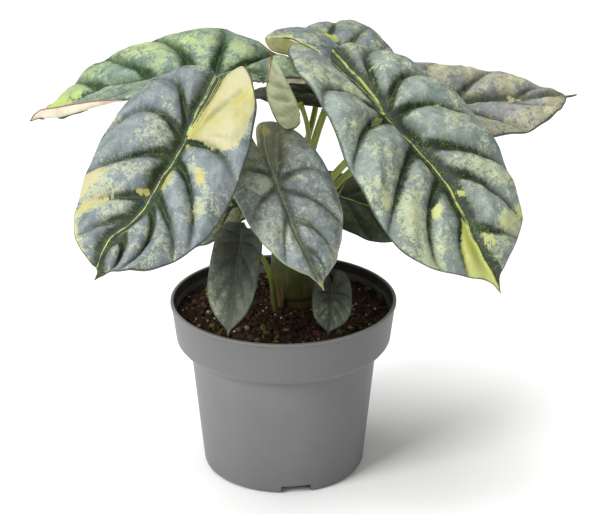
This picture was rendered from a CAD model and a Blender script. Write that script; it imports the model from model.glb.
"""The looks of a young silver dragon alocasia in its nursery pot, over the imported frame, in metres."""

import math

import bmesh
import bpy
import numpy as np
from mathutils import Matrix, Vector


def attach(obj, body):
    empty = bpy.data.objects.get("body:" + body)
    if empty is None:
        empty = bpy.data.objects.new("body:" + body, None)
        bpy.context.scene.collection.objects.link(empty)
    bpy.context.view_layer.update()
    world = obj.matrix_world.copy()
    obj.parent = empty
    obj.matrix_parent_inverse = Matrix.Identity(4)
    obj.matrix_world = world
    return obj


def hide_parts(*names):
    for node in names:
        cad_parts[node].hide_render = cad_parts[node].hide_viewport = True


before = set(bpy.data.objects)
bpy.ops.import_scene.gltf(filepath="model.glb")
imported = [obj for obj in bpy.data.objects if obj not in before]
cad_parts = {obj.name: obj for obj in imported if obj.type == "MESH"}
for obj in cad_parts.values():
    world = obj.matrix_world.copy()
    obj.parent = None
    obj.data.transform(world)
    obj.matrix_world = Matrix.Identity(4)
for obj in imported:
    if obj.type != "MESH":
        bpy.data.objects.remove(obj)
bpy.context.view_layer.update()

MM = 0.001
TAU = 2 * math.pi

# Camera: its aim, its distance and its slope fit the pot's rings in the photograph.
AIM = Vector((8.8, 0.0, 118.0)) * MM
CAMERA_SLOPE = math.radians(22.5)
CAMERA_DISTANCE = 1.0
FOCAL_PIXELS = 1900
IMAGE_WIDTH = 600
SENSOR = 36

# Pot, in mm.
POT_HEIGHT = 95
RIM_RADIUS = 60
RIM_LIP = 1.8
LIP_HEIGHT = 1.6
LIP_STEP = 0.6
LIP_ROUNDING = 0.55
BAND_FOOT_RADIUS = 57.2
BAND_FOOT_LEVEL = 74
BAND_ROUNDING = 0.6
BAND_UNDERCUT = 1.2
BODY_TOP_RADIUS = 49.8
BODY_TOP_LEVEL = 69.5
STEP_BULGE = 1.4
STEP_RISE = 1.1
INSIDE_STEP_RISE = 1.2
FOOT_RADIUS = 43.4
FOOT_ROUNDING = 3.2
WALL = 1.4
FLOOR_LEVEL = 6.2
RING_INNER = 15
RING_OUTER = 37.5
RING_RISE = 3.6
POT_SIDES = 180
DRAIN_HOLES = 6
DRAIN_HOLE_RADIUS = 4
DRAIN_HOLE_SIDES = 32
DRAIN_CIRCLE_RADIUS = 27
FOOT_SLOTS = 3
FOOT_SLOT_WIDTH = 16
FOOT_SLOT_HEIGHT = 4.8
FOOT_SLOT_ROUNDING = 0.9
FIRST_SLOT_ANGLE = -81
SHARP_ANGLE = 32

# Potting mix, in mm.
SOIL_LEVEL = 86.5
SOIL_LUMP = 0.9
SOIL_SIDES = 220
SOIL_RINGS = 62
SOIL_EDGE_GAP = 0.7
SOIL_WALL_GAP = 0.5
GROUND_WAVES = 26
GROUND_WAVE_LENGTHS = (1.6, 9)
GROUND_WAVE_HEIGHT = 0.05
CLEAR_OF_STEM = 12
SOIL_BOTTOM_GAP = 0.3
SOIL_BAND_RISE = 1.4
SOIL_MIDDLE = 0.02
SOIL_SINK = 0.4

# What lies on the mix: name, amount, least and greatest size, and where its tints start and end.
LOOSE_PIECES = (
    ("crumbs", 2600, (0.4, 1.2), (0.0, 0.5)), ("bark", 150, (1.1, 2.3), (0.3, 0.76)),
    ("moss", 420, (0.3, 0.7), (0.56, 0.66)), ("grit", 46, (0.8, 2.1), (0.72, 0.93)),
    ("perlite", 90, (0.35, 0.95), (0.96, 1.0)),
)
FEW_PIECES = 100
LOOSE_SHRINK = (0.6, 1.0)
LOOSE_STRETCH = (0.55, 1.3)
LOOSE_LUMPS = 0.16
LOOSE_LIFT = (0.0, 0.5)

# The tints of the loose pieces, each with its tone.
LOOSE_TINTS = (
    (0, (0.012, 0.007, 0.005)), (0.3, (0.035, 0.016, 0.009)), (0.5, (0.1, 0.035, 0.016)),
    (0.55, (0.07, 0.075, 0.018)), (0.66, (0.12, 0.13, 0.03)), (0.75, (0.15, 0.075, 0.04)),
    (0.85, (0.3, 0.19, 0.1)), (0.93, (0.36, 0.28, 0.18)), (1, (0.72, 0.7, 0.64)),
)

# Stem base and stalks: lengths in mm, the rest in shares.
STEM_CENTRE = np.array([6.0, 14.0])
STEM_PROFILE = [[64, 8], [70, 10.5], [88, 12.4], [104, 12], [118, 11.6], [126, 11.2], [128, 10.6]]
SOCKET_RING_RADIUS = 7.6
SOCKET_BOTTOM = 118
STALK_ROOT_DEPTH = 9
STALK_RISE = 0.45
STALK_ARRIVAL = 0.22
ALONG_ARRIVAL = 0.36
STALK_GAP = 0.4
SMALL_STEP = 0.004
STALK_SIDES = 22
STALK_RINGS = 48
STALK_FOOT = 1.1
STALK_TAPER = 0.22
STALK_PAD = np.array([1.0, 1.05, 1.15, 1.3])
CHANNEL_DEPTH = 0.14
CHANNEL_WIDTH = 0.5
STEM_SIDES = 96
STEM_RINGS = 46
STEM_INSET = 0.3
STEM_RIPPLE = 0.25
BULGE = 1.1
BULGE_WIDTH = 0.3
BULGE_SINK = 0.9
BULGE_START = 88
BULGE_RISE = 40
TOP_DISH = ((0.8, 0.28), (0.5, 0.64), (0.2, 0.8))

# The winged sheaths: how much of each clasps the stem, its spread in degrees, and its way along the stalk.
SHEATH_BOTTOM = 92
SHEATH_STEP = 9
SHEATH_RINGS = 30
SHEATH_COLUMNS = 25
SHEATH_GAP = 0.5
SHEATH_THICKNESS = 0.6
CLASP = 0.45
CLASP_TOP = 126.0
CLASP_SPREAD = 95
CLASP_NARROWING = 0.35
WING_SPREAD = 62
WING_WIDENING = 40
WING_RADIUS = 11.7
WING_GAP = 0.35
WING_START = 0.09
WING_REACH = 0.3
WING_LEAVING = 1.6
WING_LEAVING_POWER = 0.7
WING_RISING = 1.1
WING_TIP_NARROWING = 0.8

# The dried sheaths: name, heading in degrees, half spread in radians, top in mm, seed.
DRY_SHEATHS = (("left", -150, 0.62, 99, 5), ("right", 20, 0.5, 93, 9))
DRY_COLUMNS = 31
DRY_RINGS = 16
DRY_FOOT_DEPTH = 3
DRY_THICKNESS = 0.4
RAGGEDNESS = 6
RAGGED_STEPS = 5
PEEL_START = 0.6
PEEL = 0.9
PEEL_WAVE = 0.4
PEEL_WAVE_PACE = 0.9

# Leaf blade, in shares of its length: half the outline, and where each of its rows leaves the midrib.
HALF_OUTLINE = np.array([
    [-0.22, 0], [-0.325, 0.055], [-0.315, 0.15], [-0.19, 0.22], [0, 0.25], [0.2, 0.255],
    [0.37, 0.235], [0.5, 0.165], [0.58, 0.075], [0.62, 0.02], [0.67, 0],
])
LAST = 10
PLAIN_NOTCH = -0.22
FULL_HALF_WIDTH = 0.25
REAR_REACH = 0.33
FRONT_REACH = 0.67
ROW_STARTS = np.array([
    [0, PLAIN_NOTCH], [1.2, -0.15], [2.6, -0.07], [4.1, 0], [5.2, 0.05], [5.8, 0.15], [6.6, 0.28],
    [7.4, 0.42], [8.4, 0.56], [LAST, FRONT_REACH],
])
ROW_ARCH = 0.3
ROW_ARCH_TURN = 0.42
MIDRIB_DEPTH = 0.006

# Blade relief, in mm on a blade of 150 mm.
FULL_LENGTH = 150
PILLOW = 5.6
PILLOW_ROUNDNESS = 0.62
WIDE_PILLOW = 20
PILLOW_RANGE = (0.2, 1.1)
PILLOW_START = 6.0
CREASE_DEPTH = 1.1
CREASE_WIDTH = 1.6
GROOVE_DEPTH = 1.6
GROOVE_WIDTH = 4.0
MIDRIB_RAISE = 0.6
MIDRIB_WIDTH = 0.75
VEIN_SWAY = 0.07
VEIN_SWAY_PACE = 5.0
VEIN_PHASE = 2.4
LEAF_PHASE = 1.7
FORK_START = 0.8
FORK_FADE = 30
FORK_LIFT = 1.3
FORK_SWAY = 0.12
FORK_SWAY_PACE = 9
MIDRIB_WOBBLE = 0.35
WOBBLE_PACES = (0.16, 0.43)
SECTOR_EDGE = 5.0
SECTOR_BORDER = 0.65
SECTOR_GAP = 0.3
BLOTCH_TOP = 1.25
BLOTCH_FALL = 0.75
WRINKLE = 0.42
MARGIN_WAVE = 1.1
WAVE_PACES = (3.1, 7.3)
BLADE_THICKNESS = 0.7
MARGIN_THICKNESS = 0.45
FLAT_MARGIN = 9
KEEL_WIDTH = 1.3
KEEL_TAPER = 3
LEAST_KEEL = 0.15

# The blade's grid: rows and half its columns for each mm of length, and the fewest of both. Columns crowd
# towards the margin by a power.
ROWS_A_MM = 1.5
COLUMNS_A_MM = 0.34
FEWEST_ROWS = 90
FEWEST_COLUMNS = 26
COLUMN_POWER = 0.95
NORMAL_SMOOTHINGS = 4

# Values for the shaders: what stands for no vein near, and how far the leaves' patterns are set apart.
FAR = 1000.0
FAR_STORED = 30.0
LEAF_SHIFT = 37.0

# The map for baked textures: where each face starts across it, how wide and long it is, and the rim's strip.
MAP_STARTS = (0.01, 0.51)
MAP_WIDTH = 0.47
MAP_FOOT = 0.03
MAP_LENGTH = 0.96
RIM_START = 0.02
RIM_FOOT = 0.004
RIM_TALL = 0.012

# Where a left margin folds over: first and last row, width and radius in mm, its turn in degrees (down below
# 0), and the tones of the underside.
HEMS = {
    "b": dict(rows=(5.4, 9.75), width=6.5, radius=1.6, turn=105, under="beige"),
    "f": dict(rows=(3.75, 6.3), width=8.5, radius=0.8, turn=-75, under="straw"),
}
HEM_COLUMNS = 14
HEM_FAR = 20.0
HEM_THICKNESS = 0.5
HEM_LEAST_WIDTH = 0.4
HEM_ROUNDNESS = 0.6
HEM_BEND_PART = 0.6
HEM_PACE = 10

# How much of a strip's thickness is gone at its edges.
STRIP_EDGE = 0.75

# Half the floor's side, in metres.
FLOOR_REACH = 4.0


def half(width, lobe, folds, bend):
    """Half a blade: its width and lobe against the plain outline, its folds at rear, middle and tip and the
    bend across it in degrees."""
    rear_fold, fold, tip_fold = folds
    return dict(width=width, lobe=lobe, rear_fold=rear_fold, fold=fold, tip_fold=tip_fold, bend=bend)


# The twelve leaves as in the solids, in mm and degrees. A side vein is its row at the midrib, halfway and at
# the margin. A bow is how far left the midrib lies at equal steps from the stalk to the tip. Costae are
# (slope, curve, half width of the pale line), and rib is (row, half width). These three are in mm on a blade
# of 150 mm. A sector is a side, then -1 before or 1 beyond its border, then the border as (share, row).
# Blotches are (side, row, share, half height in rows, half width in shares, strength). calm is how much of
# the relief is left.
LEAVES = {
    "a": dict(
        at=(-47, -42, 199), length=145, heading=-118, pitch=-36, droop=29, rear=-12,
        roll=2, twist=-11, swing=0.03, notch=-0.26,
        left=half(1.02, 0.85, (33, 8, -11), -16), right=half(1.05, 0.93, (5, 26, -10), -17),
        stalk=dict(radius=2.1, socket=-130),
        left_veins=[
            (3.9, 2.9, 2.9), (4.5, 4.4, 4.65), (5.55, 5.66, 6.45), (6.4, 6.55, 6.85), (6.75, 7.15, 8.6),
            (7.8, 8.2, 9.2),
        ],
        right_veins=[
            (3.5, 2.4, 3.0), (4.3, 3.65, 4.5), (5.45, 5.22, 5.25), (6.55, 6.33, 6.2), (7.05, 7.05, 6.9),
            (7.8, 7.9, 8.1),
        ],
        bow=(0, -0.2, -0.8, -1, -2.4, -7.6, -6, 0),
        costae=((-0.09, 0.0007, 0.2), (-0.05, 0.0003, 0.13), (0.05, 0, 0.24), (0.11, 0, 0.2), (0.15, 0, 0)),
        sector=(1, -1, ((0, 4.2), (0.45, 4.34), (0.74, 4.3), (0.86, 4.1), (0.94, 3.7), (1, 3.0))),
        blotches=[
            (-1, 5.62, 0.92, 0.34, 0.24, 1.2), (-1, 6.3, 0.88, 0.26, 0.36, 1.15),
            (-1, 7.3, 1.0, 1.1, 0.07, 0.9), (1, 5.3, 0.55, 0.2, 0.16, 0.9), (1, 5.95, 0.12, 0.34, 0.09, 0.9),
            (1, 4.75, 0.12, 0.3, 0.13, 0.85), (1, 5.8, 0.68, 0.2, 0.1, 0.7), (-1, 6.35, 0.16, 0.1, 0.12, 0.8),
            (-1, 9.3, 1.0, 0.8, 0.2, 0.8), (1, 9.5, 1.0, 0.5, 0.3, 0.8),
        ],
        rib=((4, 0.17), (5.5, 0.15), (6.6, 0.22), (7.4, 0.32), (8.2, 0.22), (10, 0.25)),
        look="silver",
    ),
    "b": dict(
        at=(-32, 34, 206), length=160, heading=177, pitch=-2, droop=-35, rear=-27,
        roll=1, twist=-24, swing=0.01, notch=-0.22,
        left=half(1.03, 0.84, (8, 1, 12), 16), right=half(1.01, 0.78, (-7, 20, -10), 8),
        stalk=dict(radius=2.1, socket=150),
        left_veins=[
            (1.3, 1.3, 1.6), (2.6, 2.6, 3.1), (4.1, 4.1, 4.6), (5.3, 5.4, 5.9), (6.2, 6.3, 6.8),
            (7.1, 7.3, 7.7), (8.0, 8.2, 8.6),
        ],
        right_veins=[
            (1.3, 1.0, 1.3), (3.8, 2.85, 2.9), (4.6, 4.1, 4.15), (5.55, 5.2, 5.15), (6.3, 6.22, 6.3),
            (7.1, 7.25, 7.2), (8.0, 8.1, 8.4),
        ],
        blotches=[
            (-1, 5.7, 0.72, 0.35, 0.3, 0.7), (-1, 4.7, 0.66, 0.4, 0.22, 0.65), (-1, 8.7, 0.5, 1.1, 0.9, 1.1),
            (1, 8.6, 0.5, 1.2, 0.9, 1.1), (-1, 3.5, 0.5, 0.4, 0.3, 0.5),
            (1, 5.0, 0.6, 0.4, 0.3, 0.5),
        ],
        look="green",
    ),
    "c": dict(
        at=(7, -10, 205), length=52, heading=220, pitch=64, droop=-10, rear=0,
        roll=137, twist=0, swing=0, notch=-0.05,
        left=half(0.7, 0.5, (37, 37, 37), 66), right=half(1.2, 0.5, (18, 18, 18), 41),
        stalk=dict(radius=1.4, socket=0, middle=True, along=True),
        look="young",
    ),
    "d": dict(
        at=(-3, -38, 174), length=92, heading=-57, pitch=-37, droop=-19, rear=0,
        roll=0, twist=-23, swing=-0.03, notch=-0.24,
        left=half(1.13, 1.12, (9, 29, -15), -6), right=half(1.03, 1, (10, 1, 8), -24),
        stalk=dict(radius=1.8, socket=-90),
        left_veins=[
            (2.9, 1.9, 2.2), (4.25, 4.05, 4.5), (5.35, 5.42, 5.75), (6.5, 6.63, 7.4), (7.5, 7.9, 8.8),
        ],
        right_veins=[(3.65, 3.05, 3.6), (4.9, 4.8, 5.1), (6.0, 6.35, 6.9), (6.5, 7.7, 9.3)],
        bow=(0, -1.7, -3.2, -4.5, -4.7, -3.6, -1.6, 0),
        costae=((0.1, 0.003, 0.2), (0.5, 0, 0.22)),
        blotches=[
            (1, 1.4, 0.8, 0.6, 0.3, 0.72), (1, 2.5, 0.72, 0.4, 0.3, 0.6), (1, 3.0, 0.3, 0.4, 0.2, 0.5),
            (1, 9.6, 0.5, 0.6, 0.7, 1.0), (-1, 9.6, 0.5, 0.6, 0.7, 1.0), (1, 7.2, 0.8, 0.3, 0.2, 0.5),
            (-1, 4.2, 0.5, 0.4, 0.3, 0.45),
        ],
        rib=((0, 0.2), (5, 0.16), (6.4, 0.4), (7.2, 0.2), (10, 0.5)),
        calm=0.85,
        look="speckled",
    ),
    "e": dict(
        at=(52, -18, 202), length=164, heading=-49, pitch=-26, droop=-38, rear=-26,
        roll=7, twist=18, swing=-0.03, notch=-0.27,
        left=half(1.03, 1.02, (16, 25, 3), -44), right=half(1.06, 1.03, (26, 24, -14), -8),
        stalk=dict(radius=2.1, socket=-50),
        left_veins=[
            (3.3, 2.2, 2.75), (3.9, 3.38, 3.85), (4.55, 4.4, 5.1), (5.75, 5.78, 5.85), (6.4, 6.52, 6.9),
            (7.65, 7.55, 7.5), (8.5, 8.5, 8.7),
        ],
        right_veins=[
            (4.6, 3.35, 3.9), (4.7, 4.45, 4.8), (5.85, 5.76, 6.05), (6.65, 6.7, 7.4), (7.5, 7.65, 8.2),
        ],
        bow=(0, 0.1, 0.8, 2.5, 1, -0.4, 0, 0),
        costae=((0.2, -0.0009, 0.6), (0.09, -0.0012, 0.12), (-0.25, 0.0045, 0.22)),
        sector=(
            -1, 1, ((0, 7.3), (0.1, 7.46), (0.35, 7.57), (0.53, 7.65), (0.69, 7.86), (0.88, 8.03), (1, 8.1)),
        ),
        blotches=[
            (-1, 4.4, 0.3, 0.1, 0.2, 0.9), (-1, 5.7, 0.86, 0.16, 0.06, 0.85),
            (-1, 6.2, 0.14, 0.18, 0.08, 0.7), (-1, 6.8, 0.4, 0.1, 0.14, 1.0), (-1, 7.2, 0.7, 0.3, 0.3, 0.5),
            (1, 7.2, 0.75, 0.3, 0.25, 0.7),
            (1, 6.85, 0.17, 0.1, 0.06, 1.0), (1, 4.47, 0.52, 0.06, 0.12, 1.0), (1, 7.9, 0.4, 0.3, 0.35, 0.62),
            (1, 6.3, 0.8, 0.3, 0.2, 0.5), (1, 2.35, 0.45, 0.15, 0.08, 0.7), (1, 6.8, 0.95, 0.3, 0.08, 0.8),
            (1, 8.5, 0.5, 0.35, 0.4, 0.62), (-1, 6.3, 0.75, 0.3, 0.2, 0.5), (-1, 3.2, 0.5, 0.5, 0.3, 0.45),
        ],
        rib=((4, 0.22), (6, 0.2), (6.6, 0.34), (7.4, 0.6), (8, 0.35), (10, 0.3)),
        look="bright",
    ),
    "f": dict(
        at=(36, 62, 206), length=109, heading=125, pitch=29, droop=-105, rear=-10,
        roll=-1, twist=-11, swing=0.01, notch=-0.11,
        left=half(1.07, 0.4, (25, 48, 13), -44), right=half(1, 0.4, (8, 10, 2), -9),
        stalk=dict(radius=2.1, socket=70),
        right_veins=[
            (1.3, 1.2, 1.5), (2.9, 2.7, 3.0), (4.2, 4.0, 4.3), (5.3, 5.2, 4.9), (6.2, 6.2, 6.5),
            (7.4, 7.6, 8.2),
        ],
        blotches=[
            (1, 5.4, 1.02, 2.2, 0.07, 1.1), (1, 5.1, 0.3, 0.45, 0.18, 1.0), (-1, 6.2, 0.1, 0.6, 0.12, 1.0),
            (-1, 5.0, 0.6, 0.3, 0.2, 0.45),
        ],
        calm=0.6,
        look="rear",
    ),
    "g": dict(
        at=(73, 24, 193), length=130, heading=16, pitch=-3, droop=8, rear=-10,
        roll=11, twist=-6, swing=-0.01, notch=-0.22,
        left=half(1.01, 1, (8, 19, -2), -4), right=half(1.04, 1, (8, -1, 6), -8),
        stalk=dict(radius=2.1, socket=-10),
        left_veins=[(1.3, 1.2, 1.4), (2.7, 2.4, 2.8), (4.3, 4.2, 4.6), (5.7, 5.83, 6.1), (7.3, 7.5, 8.1)],
        right_veins=[(1.3, 1.2, 1.4), (2.7, 2.4, 2.8), (4.2, 4.0, 4.5), (5.3, 5.55, 6.0), (6.9, 7.1, 7.8)],
        blotches=[
            (1, 4.7, 0.87, 0.3, 0.2, 0.85), (1, 5.6, 0.88, 0.24, 0.2, 0.9), (1, 7.0, 0.75, 0.35, 0.25, 0.8),
            (1, 7.2, 0.08, 0.4, 0.14, 0.7), (-1, 7.2, 0.9, 0.5, 0.15, 0.75), (-1, 5.5, 0.68, 0.3, 0.2, 0.4),
            (-1, 8.6, 0.5, 0.8, 0.5, 0.65), (1, 6.2, 0.5, 0.2, 0.3, 0.5),
        ],
        look="grey",
    ),
    "h": dict(
        at=(28, 42, 137), length=81, heading=-9, pitch=-12, droop=-31, rear=-10,
        roll=23, twist=11, swing=-0.01, notch=-0.22,
        left=half(0.99, 1, (7, 2, 8), -24), right=half(1.04, 1, (8, 9, -1), -23),
        stalk=dict(radius=1.6, socket=30, rise=0.2),
        rib=((0, 0.7), (5, 0.55), (7, 0.35), (10, 0.2)),
        look="shade",
    ),
    "i": dict(
        at=(-21, -38, 142), length=72, heading=-107, pitch=-60, droop=-9, rear=-5,
        roll=17, twist=-6, swing=0, notch=-0.14,
        left=half(0.84, 0.31, (15, 11, 11), -1), right=half(0.87, 0.42, (5, 4, 14), -7),
        stalk=dict(radius=1.3, root=(-4, 0)),
        blotches=[
            (-1, 6.6, 0.9, 1.8, 0.1, 0.42), (1, 9.6, 0.5, 0.6, 0.8, 0.85), (-1, 9.6, 0.5, 0.6, 0.8, 0.85),
        ],
        rib=((0, 0.5), (6, 0.3), (10, 0.35)),
        calm=0.2,
        look="old",
    ),
    "j": dict(
        at=(25, -28, 110), length=35, heading=-93, pitch=-45, droop=-1, rear=-5,
        roll=-6, twist=-8, swing=-0.07, notch=-0.1,
        left=half(1.2, 1.02, (11, 11, 7), -13), right=half(1.12, 1, (10, 12, 15), -6),
        stalk=dict(radius=1, root=(20, -8)),
        rib=((0, 0.5), (10, 0.3)),
        calm=0.4,
        look="old",
    ),
    "k": dict(
        at=(-24, 12, 142), length=60, heading=-157, pitch=-25, droop=-18, rear=-5,
        roll=-3, twist=-4, swing=0, notch=-0.15,
        left=half(1.01, 0.7, (10, 10, 5), -15), right=half(1, 0.7, (10, 10, 8), -10),
        stalk=dict(radius=1.6, socket=-170),
        look="dusk",
    ),
    "l": dict(
        at=(18, 76, 183), length=66, heading=178, pitch=2, droop=-16, rear=-5,
        roll=0, twist=7, swing=0, notch=-0.14,
        left=half(1, 0.65, (6, 0, 12), -9), right=half(1, 0.65, (6, 6, 6), -10),
        stalk=dict(radius=1.8, socket=110),
        look="shade",
    ),
}
PLAIN_RIB = ((4, 0.3), (7, 0.25), (10, 0.2))
PLAIN_BOW = (0, 0)
PLAIN_COSTAE = ((-0.12, 0, 0.3), (0.12, 0, 0.3))
PLAIN_VEINS = [
    (1.3, 1.2, 1.7), (2.7, 2.6, 3.1), (4.1, 4.1, 4.6), (5.3, 5.4, 5.9), (6.2, 6.4, 7.0), (7.2, 7.5, 8.2),
]

# Colours are linear RGB.
CREAM = (0.345, 0.315, 0.075)
CREAM_PALE = (0.38, 0.36, 0.2)
BEIGE = (0.38, 0.35, 0.17)
BEIGE_PALE = (0.45, 0.44, 0.3)
LIME = (0.36, 0.42, 0.06)
LIME_PALE = (0.4, 0.45, 0.15)
GREEN_FLECK = (0.24, 0.34, 0.03)
VEIN_GREEN = (0.008, 0.02, 0.006)
MARGIN_BROWN = (0.13, 0.03, 0.018)


def look_of(slot, dark, light, speckle, speckles, under, **changes):
    """The colours of one kind of leaf, from its silver tones and what differs from the usual. speckles and
    flecks are the noise above which they show. depth, core, specks and lines are strengths, and fade is how
    much of the veins' shade is lost towards the margin. A stain is (tint, strength, where it starts, where it
    is full), both places along the leaf in mm on a blade of 150 mm."""
    look = {
        "slot": slot, "dark": dark, "light": light, "speckle": speckle, "speckles": speckles, "under": under,
        "vein": VEIN_GREEN, "hollow": (0.012, 0.022, 0.018), "depth": 0.85, "fleck": GREEN_FLECK, "core": 1.0,
        "flecks": 0.54, "specks": 0.35, "lines": 0.32, "stain": None, "fade": 0.5,
        "cream": CREAM, "cream_pale": CREAM_PALE, "rib": LIME_PALE, "rim": (0.03, 0.04, 0.018),
    }
    look.update(changes)
    return look


LOOKS = {
    "silver": look_of(
        "leaf_silver", (0.098, 0.123, 0.134), (0.207, 0.241, 0.247), (0.38, 0.42, 0.26), 0.672, "pale",
    ),
    "rear": look_of(
        "leaf_silver", (0.085, 0.108, 0.11), (0.19, 0.222, 0.215), (0.36, 0.4, 0.22), 0.68, "pale",
        lines=0.15, cream=(0.3, 0.35, 0.07), cream_pale=(0.38, 0.4, 0.16),
    ),
    "bright": look_of(
        "leaf_silver", (0.114, 0.146, 0.134), (0.272, 0.325, 0.28), (0.42, 0.47, 0.27), 0.678, "pale",
        cream=(0.34, 0.36, 0.075), cream_pale=(0.42, 0.43, 0.2), fleck=(0.25, 0.35, 0.03), flecks=0.53,
        lines=0.16, rib=(0.38, 0.46, 0.1),
    ),
    "grey": look_of(
        "leaf_silver", (0.12, 0.13, 0.138), (0.28, 0.29, 0.28), (0.44, 0.42, 0.24), 0.64, "pale",
        cream=BEIGE, cream_pale=BEIGE_PALE, depth=0.7, core=0.6, rib=(0.5, 0.48, 0.22),
        fleck=(0.3, 0.32, 0.1),
    ),
    "speckled": look_of(
        "leaf_silver", (0.096, 0.122, 0.126), (0.275, 0.32, 0.325), (0.42, 0.45, 0.31), 0.665, "pale",
        vein=(0.02, 0.03, 0.016), hollow=(0.03, 0.042, 0.038), depth=0.4, fleck=(0.3, 0.32, 0.12),
        rib=(0.3, 0.3, 0.15), core=0.55, cream=(0.3, 0.26, 0.07), cream_pale=(0.4, 0.38, 0.17),
        rim=(0.2, 0.22, 0.12), specks=0.8, lines=0.2, stain=((0.075, 0.078, 0.024), 0.6, 0.0, -24.0),
    ),
    "green": look_of(
        "leaf_green", (0.066, 0.106, 0.096), (0.237, 0.312, 0.237), (0.34, 0.42, 0.19), 0.645, "pale",
        hollow=(0.028, 0.066, 0.014), vein=(0.01, 0.034, 0.007), fleck=(0.2, 0.33, 0.04), depth=0.92,
        fade=0.05, cream=(0.31, 0.4, 0.09), cream_pale=(0.35, 0.43, 0.2),
    ),
    "young": look_of(
        "leaf_pale", (0.36, 0.42, 0.24), (0.52, 0.57, 0.33), (0.56, 0.59, 0.34), 0.75, "sage", depth=0.3,
        rim=MARGIN_BROWN,
    ),
    "shade": look_of(
        "leaf_dark", (0.014, 0.026, 0.008), (0.04, 0.06, 0.017), (0.1, 0.11, 0.035), 0.72, "olive",
        hollow=(0.005, 0.01, 0.005), rib=(0.72, 0.64, 0.1), fleck=(0.09, 0.11, 0.02),
    ),
    "dusk": look_of(
        "leaf_dark", (0.075, 0.095, 0.07), (0.17, 0.195, 0.15), (0.36, 0.37, 0.2), 0.66, "olive",
        rib=(0.25, 0.26, 0.1), depth=0.6,
    ),
    "old": look_of(
        "leaf_dark", (0.05, 0.064, 0.042), (0.175, 0.195, 0.145), (0.27, 0.29, 0.2), 0.73, "olive",
        vein=(0.01, 0.015, 0.008), hollow=(0.011, 0.016, 0.008), depth=0.4, fleck=(0.08, 0.1, 0.045),
        stain=((0.008, 0.012, 0.005), 0.93, 70.0, 8.0),
        rib=(0.08, 0.1, 0.05), core=0.3, specks=0.1, cream=(0.4, 0.34, 0.22), cream_pale=(0.42, 0.37, 0.26),
    ),
}
UNDERSIDES = {
    "pale": {"dark": (0.28, 0.3, 0.17), "light": (0.46, 0.45, 0.3), "vein": (0.3, 0.15, 0.08)},
    "sage": {"dark": (0.56, 0.62, 0.38), "light": (0.7, 0.74, 0.5), "vein": (0.34, 0.4, 0.22)},
    "olive": {"dark": (0.09, 0.105, 0.03), "light": (0.16, 0.18, 0.06), "vein": (0.05, 0.05, 0.02)},
    "straw": {"dark": (0.15, 0.155, 0.05), "light": (0.26, 0.27, 0.1), "vein": (0.1, 0.09, 0.03)},
    "beige": {"dark": (0.4, 0.36, 0.26), "light": (0.52, 0.48, 0.37), "vein": (0.26, 0.17, 0.1)},
}


class Flow:
    """What one node gives out, with the arithmetic that the materials need."""

    def __init__(self, shader, socket):
        self.shader = shader
        self.socket = socket

    def __add__(self, other):
        return self.shader.math("ADD", self, other)

    def __sub__(self, other):
        return self.shader.math("SUBTRACT", self, other)

    def __rsub__(self, other):
        return self.shader.math("SUBTRACT", other, self)

    def __mul__(self, other):
        return self.shader.math("MULTIPLY", self, other)

    def __truediv__(self, other):
        return self.shader.math("DIVIDE", self, other)

    def __abs__(self):
        return self.shader.math("ABSOLUTE", self, 0.0)

    def larger(self, other):
        return self.shader.math("MAXIMUM", self, other)

    def smaller(self, other):
        return self.shader.math("MINIMUM", self, other)

    def torn(self, noise, amount):
        """The value moved up and down by a noise that is 0.5 on average."""
        return self + (noise - 0.5) * amount

    def step(self, low, high, out_low=0.0, out_high=1.0):
        """A smooth step from out_low at low to out_high at high."""
        values = {"Value": self, "From Min": low, "From Max": high, "To Min": out_low, "To Max": out_high}
        return self.shader.node("ShaderNodeMapRange", values, interpolation_type="SMOOTHSTEP")


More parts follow.
